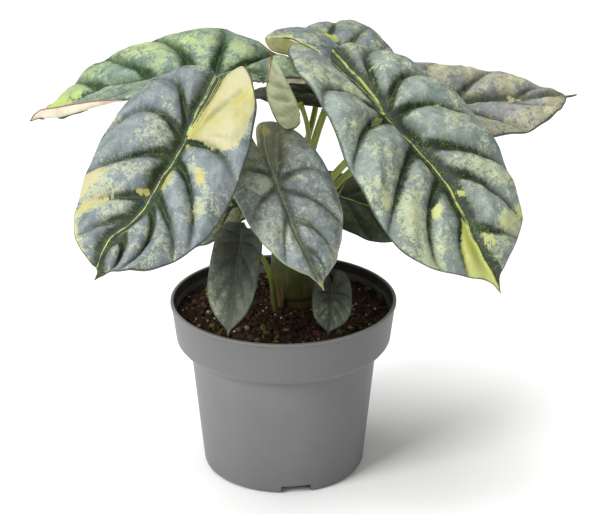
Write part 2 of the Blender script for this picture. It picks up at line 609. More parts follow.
class Shader:
    """One material: it starts from a plain colour, and each call of paint lays another over it."""

    def __init__(self, name, colour, place=None):
        self.material = bpy.data.materials.new(name)
        self.material.use_nodes = True
        self.tree = self.material.node_tree
        self.colour = colour
        self.place = self.vector(place) if place else self.node("ShaderNodeTexCoord", {}, "Object")

    def put(self, socket, value):
        if isinstance(value, Flow):
            self.tree.links.new(value.socket, socket)
        elif isinstance(value, tuple) and len(socket.default_value) == 4:
            socket.default_value = (*value, 1)
        else:
            socket.default_value = value

    def node(self, kind, values, output=0, **settings):
        made = self.tree.nodes.new(kind)
        for key, value in settings.items():
            setattr(made, key, value)
        for key, value in values.items():
            self.put(made.inputs[key], value)
        return Flow(self, made.outputs[output])

    def math(self, operation, a, b):
        return self.node("ShaderNodeMath", {0: a, 1: b}, operation=operation)

    def mix(self, share, a, b):
        return self.node("ShaderNodeMix", {"Factor": share, 6: a, 7: b}, 2, data_type="RGBA")

    def paint(self, share, tint):
        self.colour = self.mix(share, self.colour, tint)

    def value(self, name):
        return self.node("ShaderNodeAttribute", {}, "Fac", attribute_name=name)

    def vector(self, name):
        return self.node("ShaderNodeAttribute", {}, "Vector", attribute_name=name)

    def noise(self, scale, detail, roughness, distortion=0.0, place=None):
        values = {
            "Vector": place or self.place, "Scale": scale, "Detail": detail, "Roughness": roughness,
            "Distortion": distortion,
        }
        return self.node("ShaderNodeTexNoise", values)

    def fibres(self, scale, detail, roughness):
        """Noise with its own scale along each axis."""
        spot = self.node("ShaderNodeMapping", {"Vector": self.place, "Scale": scale})
        return self.noise(1.0, detail, roughness, place=spot)

    def strokes(self, lengthwise, outward, pace):
        """Noise drawn out into fine strokes that stand across a line, other ones on each leaf."""
        spot = self.node("ShaderNodeCombineXYZ", {"X": lengthwise * pace, "Y": outward * 0.22})
        leaf_shift = self.node("ShaderNodeVectorMath", {0: self.place, 1: (0, 0, 1)}, operation="MULTIPLY")
        spot = self.node("ShaderNodeVectorMath", {0: spot, 1: leaf_shift}, operation="ADD")
        return self.noise(1.0, 3, 0.65, place=spot)

    def rib_line(self, costae):
        """How far the midrib or a costa is, in its half widths: below 1 on the pale line."""
        off, along = self.value("off_rib"), self.value("along")
        behind = (along * -1.0).larger(0.0)
        line = abs(off) / self.value("rib_width") + behind * 4.0
        for slope, curve, half_width in costae:
            if half_width > 0:
                gap = abs(off - (behind * slope + behind * behind * curve))
                line = line.smaller(gap / half_width + along.step(-1.5, 0.5, 0, 40))
        return line

    def bump(self, height, strength, distance, under=None):
        values = {"Height": height, "Strength": strength, "Distance": distance}
        if under:
            values["Normal"] = under
        return self.node("ShaderNodeBump", values)

    def finish(self, roughness, specular, normal=None):
        values = {"Base Color": self.colour, "Roughness": roughness, "Specular IOR Level": specular}
        if normal:
            values["Normal"] = normal
        for key, value in values.items():
            self.put(self.tree.nodes["Principled BSDF"].inputs[key], value)
        return self.material


def mesh_object(name, points, faces, smooth=True):
    mesh = bpy.data.meshes.new(name)
    mesh.from_pydata([tuple(p) for p in points], [], faces)
    mesh.update()
    mesh.polygons.foreach_set("use_smooth", [smooth] * len(mesh.polygons))
    made = bpy.data.objects.new(name, mesh)
    bpy.context.scene.collection.objects.link(made)
    return made


def add_values(made, name, values, kind="FLOAT", key="value"):
    attribute = made.data.attributes.new(name, kind, "POINT")
    attribute.data.foreach_set(key, np.asarray(values, np.float32).ravel())


def add_vectors(made, name, vectors):
    add_values(made, name, vectors, "FLOAT_VECTOR", "vector")


def dress(made, slot, *materials, instead_of=()):
    for material in materials:
        made.data.materials.append(material)
    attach(made, "root")
    if instead_of:
        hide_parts(*instead_of)


def bell(distance, width):
    return np.exp(-((distance / width) ** 2))


def angle_between(turns, turn):
    return np.angle(np.exp(1j * (turns - turn)))


def unit(vectors):
    return vectors / np.maximum(np.linalg.norm(vectors, axis=-1, keepdims=True), 1e-12)


def even_turns(sides):
    return np.arange(sides) / sides * TAU


def arc(centre, radius, turns, height):
    """Points in mm at the given turns round a centre."""
    x = centre[0] + radius * np.cos(turns)
    y = centre[1] + radius * np.sin(turns)
    return np.stack(np.broadcast_arrays(x, y, height), -1)


def closed_body(name, rings, start, end):
    """A closed mesh over rings of points in mm, with a fan at each end that meets in one point."""
    count, sides = len(rings), len(rings[0])
    faces = []
    for row in range(count - 1):
        for k in range(sides):
            a, b = row * sides + k, row * sides + (k + 1) % sides
            faces.append([a, b, b + sides, a + sides])
    last = (count - 1) * sides
    for k in range(sides):
        faces.append([count * sides, (k + 1) % sides, k])
        faces.append([count * sides + 1, last + k, last + (k + 1) % sides])
    return mesh_object(name, np.vstack([*rings, [start], [end]]) * MM, faces)


def skin_faces(sheet, rim, shift):
    """A sheet, its twin whose points are numbered shift higher, and the strip between them along the rim."""
    after = [*rim[1:], rim[0]]
    twin = [[place + shift for place in reversed(face)] for face in sheet]
    edge = [[a + shift, b + shift, b, a] for a, b in zip(rim, after)]
    return sheet + twin + edge


def catmull(points, place):
    """The curve through points at places counted in points."""
    last = len(points) - 1
    place = np.clip(place, 0, last)
    index = np.minimum(place.astype(int), last - 1)
    part = (place - index)[..., None]
    padded = np.vstack([2 * points[0] - points[1], points, 2 * points[-1] - points[-2]])
    a, b, c, d = (padded[index + shift] for shift in range(4))
    return 0.5 * (
        2 * b + (c - a) * part + (2 * a - 5 * b + 4 * c - d) * part**2 + (3 * b - a - 3 * c + d) * part**3
    )


def bezier(points, share):
    share = np.asarray(share)[:, None]
    back = 1 - share
    a, b, c, d = points
    return back**3 * a + 3 * share * back**2 * b + 3 * share**2 * back * c + share**3 * d


def bowed(angle):
    """How much of its length a strip reaches when it is bent by twice the angle."""
    return np.sinc(angle / math.pi)


def flat_point(leaf, part, row, share):
    """Where a row of half a blade is at a share of the way out, in shares of the length: (along, across)."""
    outline = HALF_OUTLINE.copy()
    outline[0, 0] = leaf["notch"]
    outline[1:4, 0] *= part["lobe"]
    edge = catmull(outline, row)
    edge[..., 1] = np.maximum(edge[..., 1], 0) * part["width"]
    start = np.interp(row, ROW_STARTS[:, 0], ROW_STARTS[:, 1])
    start = np.where(start < 0, start * leaf["notch"] / PLAIN_NOTCH, start)
    root = np.stack([start, np.zeros_like(start)], -1)
    span = np.linalg.norm(edge - root, axis=-1)
    middle = (root + edge) / 2
    middle[..., 0] -= ROW_ARCH * (row / LAST - ROW_ARCH_TURN) * span
    share = share[..., None]
    return (1 - share) ** 2 * root + 2 * share * (1 - share) * middle + share**2 * edge


def bent_point(leaf, side, along, across):
    """Where the point (along, across) of the flat blade lies in space, in mm. side is 1 or -1."""

    def of_side(key):
        return np.where(side > 0, leaf["left"][key], leaf["right"][key])

    length = leaf["length"]
    bend_here = np.radians(np.where(along > 0, leaf["droop"], leaf["rear"])) * along / 2
    slope = math.radians(leaf["pitch"]) + bend_here
    run = along * length * bowed(bend_here)
    heading = math.radians(leaf["heading"])
    ahead = np.array([math.cos(heading), math.sin(heading), 0])
    leftward = np.array([-math.sin(heading), math.cos(heading), 0])
    up = np.array([0, 0, 1.0])
    point = np.array(leaf["at"], float) + (run * np.cos(slope))[..., None] * ahead
    point = point + (run * np.sin(slope))[..., None] * up
    tilt = slope + bend_here
    lift = -np.sin(tilt)[..., None] * ahead + np.cos(tilt)[..., None] * up
    roll = np.radians(leaf["roll"] + leaf["twist"] * along)[..., None]
    outward = np.cos(roll) * leftward + np.sin(roll) * lift
    above = -np.sin(roll) * leftward + np.cos(roll) * lift
    fold = of_side("fold")
    rearward = fold + (of_side("rear_fold") - fold) * -along / REAR_REACH
    forward = fold + (of_side("tip_fold") - fold) * along / FRONT_REACH
    half_width = FULL_HALF_WIDTH * of_side("width")
    bend = np.radians(of_side("bend")) * across / half_width / 2
    reach = across * length * bowed(bend)
    angle = np.radians(np.where(along < 0, rearward, forward)) + bend
    sway = leaf["swing"] * along * along * length
    point = point + (side * reach * np.cos(angle) + sway)[..., None] * outward
    return point + (reach * np.sin(angle))[..., None] * above


class Blade:
    """The grid of one blade: its rows run from notch to tip, its columns from right to left margin."""

    def __init__(self, name, leaf):
        self.name = name
        self.leaf = leaf
        self.seed = ord(name) - ord("a")
        self.scale = leaf["length"] / FULL_LENGTH
        self.costae = leaf.get("costae", PLAIN_COSTAE)
        rows = max(FEWEST_ROWS, int(ROWS_A_MM * leaf["length"]))
        self.middle = max(FEWEST_COLUMNS, int(COLUMNS_A_MM * leaf["length"]))
        self.row_places = np.linspace(0, LAST, rows + 1)[1:-1]
        outward = np.linspace(0, 1, self.middle + 1)[1:] ** COLUMN_POWER
        self.shares = np.concatenate([-outward[::-1], [0.0], outward])
        self.row, signed = np.meshgrid(self.row_places, self.shares, indexing="ij")
        self.side = np.where(signed < 0, -1, 1)
        self.share = np.abs(signed)
        left, right = (flat_point(leaf, leaf[part], self.row, self.share) for part in ("left", "right"))
        flat = np.where((self.side > 0)[..., None], left, right)
        self.along, self.across = flat[..., 0], flat[..., 1]
        self.base = bent_point(leaf, self.side, self.along, self.across)
        self.normal = self.smooth_normal()
        self.measure()

    def smooth_normal(self):
        normal = unit(np.cross(np.gradient(self.base, axis=0), np.gradient(self.base, axis=1)))
        for _ in range(NORMAL_SMOOTHINGS):
            normal[:, 1:-1] = unit(normal[:, :-2] + 2 * normal[:, 1:-1] + normal[:, 2:])
        return normal

    def measure(self):
        """Ways on the blade: in mm from the notch across the rows, to the midrib and to the margin, and in mm
        on a blade of 150 mm to the drawn midrib and costae."""
        over = unit(np.gradient(self.base, axis=1))
        steps = np.diff(self.base, axis=0)
        over = (over[1:] + over[:-1]) / 2
        apart = np.linalg.norm(steps - (steps * over).sum(-1, keepdims=True) * over, axis=-1)
        self.travel = np.vstack([np.zeros((1, len(self.shares))), np.cumsum(apart, axis=0)])
        widths = np.linalg.norm(np.diff(self.base, axis=1), axis=-1)
        self.to_midrib = np.zeros_like(self.row)
        self.to_midrib[:, self.middle + 1:] = np.cumsum(widths[:, self.middle:], axis=1)
        self.to_midrib[:, :self.middle] = np.cumsum(widths[:, :self.middle][:, ::-1], axis=1)[:, ::-1]
        ends = np.where(self.side > 0, self.to_midrib[:, -1:], self.to_midrib[:, :1])
        self.to_margin = ends - self.to_midrib
        along = self.along * FULL_LENGTH
        bow = np.array(self.leaf.get("bow", PLAIN_BOW), float)[:, None]
        bowed_by = catmull(bow, self.along / FRONT_REACH * (len(bow) - 1))[..., 0]
        slow, fast = (pace * along for pace in WOBBLE_PACES)
        wobble = MIDRIB_WOBBLE * (np.sin(slow + self.seed) + 0.5 * np.sin(fast))
        self.off_rib = self.side * self.across * FULL_LENGTH - bowed_by - wobble
        behind = np.maximum(-along, 0)
        lines = [slope * behind + curve * behind**2 for slope, curve, _ in self.costae]
        self.to_rib = np.min([np.abs(self.off_rib - line) for line in lines], axis=0)
        outer = np.maximum(self.off_rib - np.max(lines, axis=0), np.min(lines, axis=0) - self.off_rib)
        self.to_groove = np.maximum(outer, 0)

    def vein_line(self, number, share, start, middle, end):
        """The row of a side vein at each share, with a slight sway."""
        phase = VEIN_PHASE * number + LEAF_PHASE * self.seed
        sway = VEIN_SWAY * np.sin(VEIN_SWAY_PACE * share + phase) * share
        line = start * (1 - share) * (1 - 2 * share) + 4 * middle * share * (1 - share)
        return np.clip(line + end * share * (2 * share - 1) + sway, 0, LAST)

    def veins(self):
        """For each point the distance in mm to the nearest side vein, and its height on the pillows."""
        distance = np.full(self.row.shape, FAR)
        pillow = np.zeros(self.row.shape)
        for side, key in ((1, "left_veins"), (-1, "right_veins")):
            columns = np.flatnonzero(np.where(self.shares < 0, -1, 1) == side)
            share = np.abs(self.shares[columns])
            travel = self.travel[:, columns]
            marks = [np.zeros(len(columns))]
            for number, place in enumerate(self.leaf.get(key, PLAIN_VEINS)):
                line = self.vein_line(number, share, *place)
                mark = [np.interp(line[k], self.row_places, travel[:, k]) for k in range(len(columns))]
                marks.append(np.array(mark))
            marks.append(travel[-1])
            distance[:, columns], pillow[:, columns] = self.cells(travel, share, marks)
        return distance, pillow

    def cells(self, travel, share, marks):
        """Distances to the veins at marks, and the domes between them, with a faint fork in each dome."""
        near = np.full(travel.shape, FAR)
        dome = np.zeros(travel.shape)
        for mark in marks[1:-1]:
            near = np.minimum(near, np.abs(travel - mark))
        for low, high in zip(marks, marks[1:]):
            width = np.maximum(high - low, 0.1)
            cell = (travel - low) / width
            inside = (cell >= 0) & (cell <= 1)
            tall = np.clip(width / (WIDE_PILLOW * self.scale), *PILLOW_RANGE)
            dome = np.where(inside, np.sin(math.pi * np.clip(cell, 0, 1)) ** PILLOW_ROUNDNESS * tall, dome)
            fork = np.abs(cell - 0.5 - FORK_SWAY * np.sin(FORK_SWAY_PACE * share)) * width
            fork += self.scale * (FORK_LIFT + FORK_FADE * np.clip(FORK_START - share, 0, 1))
            near = np.where(inside, np.minimum(near, fork), near)
        return near, dome

    def rib_width(self):
        """Half the width of the pale line along the midrib."""
        return np.interp(self.row, *np.array(self.leaf.get("rib", PLAIN_RIB), float).T)

    def field(self):
        """The cream field: above 0.5 in a blotch, with its margins left for the shader to tear."""
        total = np.zeros(self.row.shape)
        for side, row, share, tall, wide, strength in self.leaf.get("blotches", []):
            reach = np.sqrt(((self.row - row) / tall) ** 2 + ((self.share - share) / wide) ** 2)
            blotch = strength * np.clip(BLOTCH_TOP - BLOTCH_FALL * reach, 0, 1)
            total = np.where(self.side == side, np.maximum(total, blotch), total)
        if "sector" in self.leaf:
            side, sense, border = self.leaf["sector"]
            edge = np.interp(self.share, *np.array(border).T)
            inside = np.clip(SECTOR_BORDER + SECTOR_EDGE * sense * (self.row - edge), -1, 2)
            inside = np.where((self.off_rib * side > 0) & (self.to_groove > SECTOR_GAP), inside, -1)
            total = np.where(self.side == side, np.maximum(total, inside), total)
        return total

    def wrinkles(self):
        x, y = self.along * self.leaf["length"], self.side * self.across * self.leaf["length"]
        x, y = x / self.scale, y / self.scale
        first = np.sin(0.52 * x + 0.31 * y + self.seed) * np.sin(0.47 * y - 0.2 * x + 2 * self.seed)
        second = np.sin(1.05 * x - 0.7 * y + 1) * np.sin(0.9 * y + 0.5 * x + self.seed)
        return first + 0.4 * second

    def relief(self, pillow, distance):
        """How far the blade stands off its smooth sheet, in mm."""
        scale = self.scale
        taper = np.sqrt(np.sin(math.pi * np.clip(self.row / LAST, 0, 1)))
        from_rib = 1 - bell(self.to_groove, PILLOW_START)
        from_margin = np.clip(self.to_margin / (FLAT_MARGIN * scale), 0, 1) ** 0.6
        height = PILLOW * scale * pillow * from_rib * from_margin
        height -= GROOVE_DEPTH * scale * bell(self.to_groove, GROOVE_WIDTH)
        height += MIDRIB_RAISE * scale * bell(self.to_rib, MIDRIB_WIDTH)
        creases = bell(distance, CREASE_WIDTH * scale) * (1 - 0.5 * self.share)
        height -= CREASE_DEPTH * scale * creases * from_rib * from_margin
        height += WRINKLE * scale * self.wrinkles() * from_rib * from_margin
        slow, fast = (self.row * pace for pace in WAVE_PACES)
        wave = np.sin(slow + self.seed + self.side) + 0.5 * np.sin(fast + 2 * self.seed)
        height += MARGIN_WAVE * scale * wave * self.share**4
        return height * taper * self.leaf.get("calm", 1)

    def build(self):
        leaf = self.leaf
        distance, pillow = self.veins()
        height = self.relief(pillow, distance)
        thick = BLADE_THICKNESS + (MARGIN_THICKNESS - BLADE_THICKNESS) * self.share**3
        keel = MIDRIB_DEPTH * leaf["length"] * bell(self.to_midrib, KEEL_WIDTH * self.scale)
        keel = keel * np.clip((LAST - self.row) / KEEL_TAPER, LEAST_KEEL, 1)
        top = self.base + self.normal * (height + thick / 2)[..., None]
        bottom = self.base + self.normal * (height - thick / 2 - keel)[..., None]
        flat_ends = flat_point(leaf, leaf["left"], np.array([0.0, float(LAST)]), np.zeros(2))
        end_points = bent_point(leaf, np.ones(2), flat_ends[:, 0], flat_ends[:, 1])
        end_shift = self.normal[[0, -1], self.middle] * MARGIN_THICKNESS / 2
        points = np.vstack([
            top.reshape(-1, 3), end_points + end_shift, bottom.reshape(-1, 3), end_points - end_shift,
        ])
        faces, under = self.faces()
        made = mesh_object(f"blade_{self.name}", points * MM, faces)
        made.data.polygons.foreach_set("material_index", under)
        self.store(made, distance, flat_ends)
        self.unfold(made, under)
        return made

    def faces(self):
        """The faces of upper side, underside and rim, and for each face whether it is of the underside."""
        number = np.arange(self.row.size).reshape(self.row.shape)
        notch, tip = number.size, number.size + 1
        top = np.stack([number[:-1, :-1], number[1:, :-1], number[1:, 1:], number[:-1, 1:]], -1)
        top = top.reshape(-1, 4).tolist()
        first, last = number[0].tolist(), number[-1].tolist()
        top += [[notch, a, b] for a, b in zip(first, first[1:])]
        top += [[tip, b, a] for a, b in zip(last, last[1:])]
        rim = [notch, *number[:, 0].tolist(), tip, *number[::-1, -1].tolist()]
        under = [0] * len(top) + [1] * len(top) + [0] * len(rim)
        return skin_faces(top, rim, number.size + 2), under

    def store(self, made, distance, flat_ends):
        """Values for the shaders, in mm on a blade of 150 mm where they are lengths."""
        length = self.leaf["length"]
        travel = self.travel / self.scale
        for name, grid, at_ends in (
            ("vein", np.minimum(distance / self.scale, FAR_STORED), (FAR_STORED, FAR_STORED)),
            ("off_rib", self.off_rib, (0, 0)), ("rib_width", self.rib_width(), (0.3, 0.3)),
            ("groove", np.minimum(self.to_groove, FAR_STORED), (0, 0)),
            ("from_rib", self.to_midrib / self.scale, (0, 0)), ("margin", self.to_margin, (0, 0)),
            ("cream", self.field(), (0.2, 0.6)), ("travel", travel, (0, travel[-1].max())),
            ("share", self.share, (0, 0)), ("along", self.along * FULL_LENGTH, flat_ends[:, 0] * FULL_LENGTH),
        ):
            add_values(made, name, np.tile(np.concatenate([grid.ravel(), at_ends]), 2))
        shift = LEAF_SHIFT * self.seed
        plane = np.stack(
            [self.along * length, self.side * self.across * length, np.full_like(self.row, shift)], -1
        )
        plane_ends = [[place * length, 0, shift] for place in flat_ends[:, 0]]
        add_vectors(made, "plane", np.tile(np.vstack([plane.reshape(-1, 3), plane_ends]), (2, 1)))

    def unfold(self, made, under):
        """The map for baked textures: upper face to the left, underside to the right, rim along the foot."""
        mesh = made.data
        plane = np.zeros(len(mesh.vertices) * 3, np.float32)
        mesh.attributes["plane"].data.foreach_get("vector", plane)
        plane = plane.reshape(-1, 3)[:, :2]
        low, high = plane.min(0), plane.max(0)
        spot = (plane - low) / (high - low)
        corners = np.zeros(len(mesh.loops), np.int32)
        mesh.loops.foreach_get("vertex_index", corners)
        sizes = np.zeros(len(mesh.polygons), np.int32)
        mesh.polygons.foreach_get("loop_total", sizes)
        kind = np.repeat(np.array(under), sizes)
        first_side = len(under) - 2 * (self.row.shape[0] + 1)
        rims = np.repeat(np.arange(len(under)) >= first_side, sizes)
        across = np.array(MAP_STARTS)[kind] + MAP_WIDTH * spot[corners, 1]
        along = MAP_FOOT + MAP_LENGTH * spot[corners, 0]
        beneath = corners >= len(mesh.vertices) // 2
        across = np.where(rims, RIM_START + MAP_LENGTH * spot[corners, 0], across)
        along = np.where(rims, RIM_FOOT + RIM_TALL * beneath, along)
        layer = mesh.uv_layers.new(name="OFBake")
        layer.uv.foreach_set("vector", np.stack([across, along], -1).astype(np.float32).ravel())


def upper_material(name, look, costae):
    """Silver pillows between dark veins, with speckles, cream blotches, a lime midrib and a thin rim."""
    shader = Shader(f"leaf_{name}_upper", look["dark"], "plane")
    patches = shader.noise(0.055, 3, 0.5, 0.5)
    clouds = shader.noise(0.17, 4, 0.6, 0.7)
    grains = shader.noise(0.5, 5, 0.7, 1.0)
    dust = shader.noise(1.9, 3, 0.6)
    vein, groove, share, blotch = (shader.value(key) for key in ("vein", "groove", "share", "cream"))
    from_rib, along, travel = (shader.value(key) for key in ("from_rib", "along", "travel"))
    torn_vein = vein.torn(shader.strokes(from_rib, vein, 0.8), -3.5).torn(grains, -5.0)
    torn_vein = (torn_vein + (share * 5.0 - 0.9)).torn(patches, -2.5)
    torn_rib = groove.torn(shader.strokes(along, groove, 0.9), -5.0).torn(grains, -6.0).torn(patches, -5.0)
    thin_core = vein.torn(dust, 1.0).step(1.1, 0.3) * (share * -0.5 + 0.8)
    core = torn_vein.step(4.0, 2.4).larger(torn_rib.step(4.9, 3.0)).larger(thin_core) * look["core"]
    shade = (vein + share * 1.6).step(6.0, 0.4) * (share * -look["fade"] + 1.0)
    shade = shade.larger(groove.step(9.5, 1.0))
    dusk = vein.step(15.0, 2.0).larger(groove.step(18.0, 3.0)) * patches.step(0.25, 0.7, 0.35, 0.7)
    shader.paint(clouds.step(0.25, 0.75), look["light"])
    shader.paint(dust.step(0.35, 0.75, 0, 0.3), look["light"])
    shader.paint(dusk, look["dark"])

    speckled = grains + (patches.step(0.4, 0.64) * 0.17 + clouds * 0.14 + blotch * 0.2)
    speckles = speckled.step(look["speckles"], look["speckles"] + 0.08) * dust.step(0.32, 0.5, 0.4, 1)
    shader.paint(speckles * 0.75, look["speckle"])
    shader.paint(shade * look["depth"], look["hollow"])
    flecks = look["flecks"]
    vein_edge = vein.step(4.5, 1.5) * grains.step(flecks, flecks + 0.07) * share.step(0.3, 0.7, 1, 0.1)
    rib_edge = groove.step(7.0, 1.0) * grains.step(flecks - 0.03, flecks + 0.05)
    shader.paint(vein_edge.larger(rib_edge) * clouds.step(0.35, 0.6, 0.1, 0.95), look["fleck"])
    shader.paint(core, look["vein"])
    shader.paint(dust.step(0.55, 0.63) * clouds.step(0.45, 0.6, 0.0, 0.7) * core, look["fleck"])

    cream = blotch.torn(clouds, 1.3).torn(grains, 0.9).torn(shader.strokes(travel, from_rib, 0.4), 0.7)
    cream_colour = shader.mix(patches.step(0.3, 0.55), look["cream"], look["cream_pale"])
    cream_colour = shader.mix(groove.step(18.0, 2.0, 0, 0.75), cream_colour, look["cream"])
    cream_colour = shader.mix(vein.step(1.3, 0.3, 0, 0.4), cream_colour, LIME)
    creamy = cream.step(0.56, 0.74, 0, 0.96)
    shader.paint(creamy, cream_colour)
    if look["stain"]:
        tint, most, start, full = look["stain"]
        shader.paint(along.torn(clouds, 50.0).step(start, full, 0, most) * share.step(0.3, 1.1, 1, 0.4), tint)
    specks = shader.noise(0.95, 2, 0.6, 0.4).step(0.57, 0.63, 0, look["specks"])
    specks = specks * clouds.step(0.4, 0.6, 0.2, 1) * (core * -0.9 + 1.0) * (shade * -0.6 + 1.0)
    shader.paint(specks * (1.0 - creamy), look["speckle"])
    rib = shader.rib_line(costae).torn(dust, 1.1)
    shader.paint(rib.step(1.3, 0.8) * clouds.step(0.36, 0.56, 0.2, 0.95), look["rib"])
    shader.paint(shader.value("margin").torn(grains, 0.9).step(0.3, 0.8, 0.85, 0), look["rim"])
    lines = shader.math("SINE", travel * 3.4 + clouds * 22.0, 0.0)
    lines = patches.step(0.5, 0.62) * lines.step(0.55, 1.0) * (1.0 - creamy)
    shader.paint(lines * look["lines"], look["hollow"])
    fine = shader.bump(dust + lines * -0.6, 0.35, 0.0004)
    normal = shader.bump(grains, 0.45, 0.0009, fine)
    return shader.finish(grains.step(0.3, 0.7, 0.36, 0.5) + core * 0.08, 0.4, normal)


def under_material(name, look):
    """The matt underside: paler, with fine veins and a brown margin."""
    shader = Shader(f"leaf_{name}_under", look["dark"], "plane")
    clouds = shader.noise(0.12, 4, 0.55, 0.5)
    dust = shader.noise(1.6, 3, 0.6)
    net = {"Vector": shader.place, "Scale": 0.45}
    network = shader.node("ShaderNodeTexVoronoi", net, "Distance", feature="DISTANCE_TO_EDGE")
    shader.paint(clouds.step(0.3, 0.7), look["light"])
    shader.paint(network.step(0.0, 0.06, 0.16, 0), look["vein"])
    shader.paint(shader.value("vein").step(1.1, 0.3, 0, 0.55), look["vein"])
    shader.paint(shader.rib_line(PLAIN_COSTAE).step(2.2, 1.0, 0, 0.55), LIME)
    shader.paint(shader.value("margin").torn(dust, 0.5).step(0.5, 1.0, 0.85, 0), MARGIN_BROWN)
    normal = shader.bump(dust + network * 0.6, 0.3, 0.0004)
    return shader.finish(dust.step(0.3, 0.7, 0.5, 0.62), 0.3, normal)


def make_hem(name, blade, hem):
    """A folded part of the margin as a thin closed skin, its first material on the face towards the leaf."""
    low, high = hem["rows"]
    rows = np.flatnonzero((blade.row_places >= low) & (blade.row_places <= high))
    margin = blade.base[rows, -1]
    outward = unit(margin - blade.base[rows, -2])
    above = blade.normal[rows, -1] * math.copysign(1, hem["turn"])
    part = (blade.row_places[rows] - low) / (high - low)
    width = hem["width"] * np.sin(math.pi * part) ** HEM_ROUNDNESS + HEM_LEAST_WIDTH
    bend = np.minimum(math.radians(abs(hem["turn"])) * hem["radius"], width * HEM_BEND_PART)
    rings, free = [], []
    for share in np.linspace(0, 1, HEM_COLUMNS):
        gone = width * share
        angle = np.minimum(gone, bend) / hem["radius"]
        rest = np.maximum(gone - bend, 0)
        out = hem["radius"] * np.sin(angle) + rest * np.cos(angle)
        rise = hem["radius"] * (1 - np.cos(angle)) + rest * np.sin(angle)
        rings.append(margin + out[:, None] * outward + rise[:, None] * above)
        free.append(width - gone)
    free = np.stack(free, 1)
    made = strip(f"blade_{name}_fold", np.stack(rings, 1), HEM_THICKNESS)
    index = np.zeros(len(made.data.polygons), np.int32)
    index[:(len(rows) - 1) * (HEM_COLUMNS - 1)] = 1
    made.data.polygons.foreach_set("material_index", index)
    stored = {"rib_width": 1.0, "cream": 0.0, "share": 1.0}
    stored.update(dict.fromkeys(("vein", "off_rib", "groove", "from_rib"), HEM_FAR))
    stored.update(dict.fromkeys(("travel", "along"), HEM_PACE * blade.row_places[rows][:, None]), margin=free)
    for key, values in stored.items():
        add_values(made, key, np.tile(np.broadcast_to(values, free.shape).ravel(), 2))
    plane = np.stack([margin[:, :1] + 0 * free, free, np.full(free.shape, LEAF_SHIFT * blade.seed)], -1)
    add_vectors(made, "plane", np.tile(plane.reshape(-1, 3), (2, 1)))
    return made


def make_leaves():
    undersides = {name: under_material(name, look) for name, look in UNDERSIDES.items()}
    for name, leaf in LEAVES.items():
        look = LOOKS[leaf["look"]]
        blade = Blade(name, leaf)
        upper = upper_material(name, look, blade.costae)
        dress(blade.build(), look["slot"], upper, undersides[look["under"]], instead_of=[f"leaf_{name}"])
        if name in HEMS:
            hem = HEMS[name]
            under = undersides[hem["under"]]
            dress(make_hem(name, blade, hem), look["slot"], under if hem["turn"] < 0 else upper, under)


def stalk_path(leaf):
    """The four points of the stalk's curve, in mm, as in the solids."""
    stalk = leaf["stalk"]
    zero = np.zeros(1)
    step = np.full(1, SMALL_STEP)
    top = bent_point(leaf, np.ones(1), zero, zero)[0]
    ahead = bent_point(leaf, np.ones(1), step, zero)[0] - top
    left = unit(np.cross(ahead, bent_point(leaf, np.ones(1), zero, step)[0] - top))
    right = unit(-np.cross(ahead, bent_point(leaf, -np.ones(1), zero, step)[0] - top))
    normal = unit(left + right)
    along = stalk.get("along", False)
    end = top - normal * (STALK_GAP + MIDRIB_DEPTH * leaf["length"] + (stalk["radius"] if along else 0))
    if "root" in stalk:
        start = np.array([*stalk["root"], SOIL_LEVEL - STALK_ROOT_DEPTH])
    else:
        ring = 0 if stalk.get("middle") else SOCKET_RING_RADIUS
        turn = math.radians(stalk["socket"])
        start = np.array([*(STEM_CENTRE + ring * np.array([math.cos(turn), math.sin(turn)])), SOCKET_BOTTOM])
    span = np.linalg.norm(end - start)
    leave = start + np.array([0, 0, span * stalk.get("rise", STALK_RISE)])
    arrival = unit(ahead) if along else normal
    arrive = end - arrival * span * (ALONG_ARRIVAL if along else STALK_ARRIVAL)
    return start, leave, arrive, end


def make_stalks(material):
    """Each stalk as a tube that tapers to a small pad under the blade, with a channel down its upper side."""
    turns = even_turns(STALK_SIDES)
    channel = 1 - CHANNEL_DEPTH * bell(angle_between(turns, TAU / 4), CHANNEL_WIDTH)
    shares = np.linspace(0, 1, STALK_RINGS)
    for name, leaf in LEAVES.items():
        centres = bezier(stalk_path(leaf), shares)
        radii = leaf["stalk"]["radius"] * (STALK_FOOT - STALK_TAPER * shares)
        radii[-len(STALK_PAD):] *= STALK_PAD
        tangent = unit(np.gradient(centres, axis=0))
        side = np.cross(tangent, np.array([0.0, 0.0, 1.0]))
        side[np.linalg.norm(side, axis=1) < 0.05] = (1, 0, 0)
        side = unit(side)
        other = np.cross(side, tangent)
        spread = np.cos(turns)[None, :, None] * side[:, None] + np.sin(turns)[None, :, None] * other[:, None]
        rings = centres[:, None] + (radii[:, None] * channel[None, :])[..., None] * spread
        made = closed_body(f"petiole_{name}", rings, centres[0], centres[-1])
        add_values(made, "share", np.concatenate([np.repeat(shares, STALK_SIDES), [0, 1]]))
        add_values(made, "around", np.concatenate([np.cos(np.tile(turns, STALK_RINGS)), [0, 0]]))
        dress(made, "stalk", material, instead_of=[f"stalk_{name}"])


def stalk_material():
    """Olive green, lighter along the channel, with fine darker streaks and brown at the foot."""
    shader = Shader("petiole", (0.13, 0.17, 0.02))
    streaks = shader.fibres((900, 900, 60), 3, 0.6)
    clouds = shader.noise(60, 3, 0.5)
    shader.paint(clouds.step(0.3, 0.7), (0.2, 0.25, 0.035))
    shader.paint(streaks.step(0.45, 0.75, 0, 0.55), (0.06, 0.08, 0.02))
    shader.paint(shader.value("around").step(-0.6, 0.7, 0, 0.35), (0.3, 0.36, 0.08))
    shader.paint(shader.value("share").step(0.0, 0.5, 0.85, 0), (0.035, 0.034, 0.01))
    return shader.finish(clouds.step(0.3, 0.7, 0.36, 0.5), 0.4, shader.bump(streaks, 0.25, 0.0003))


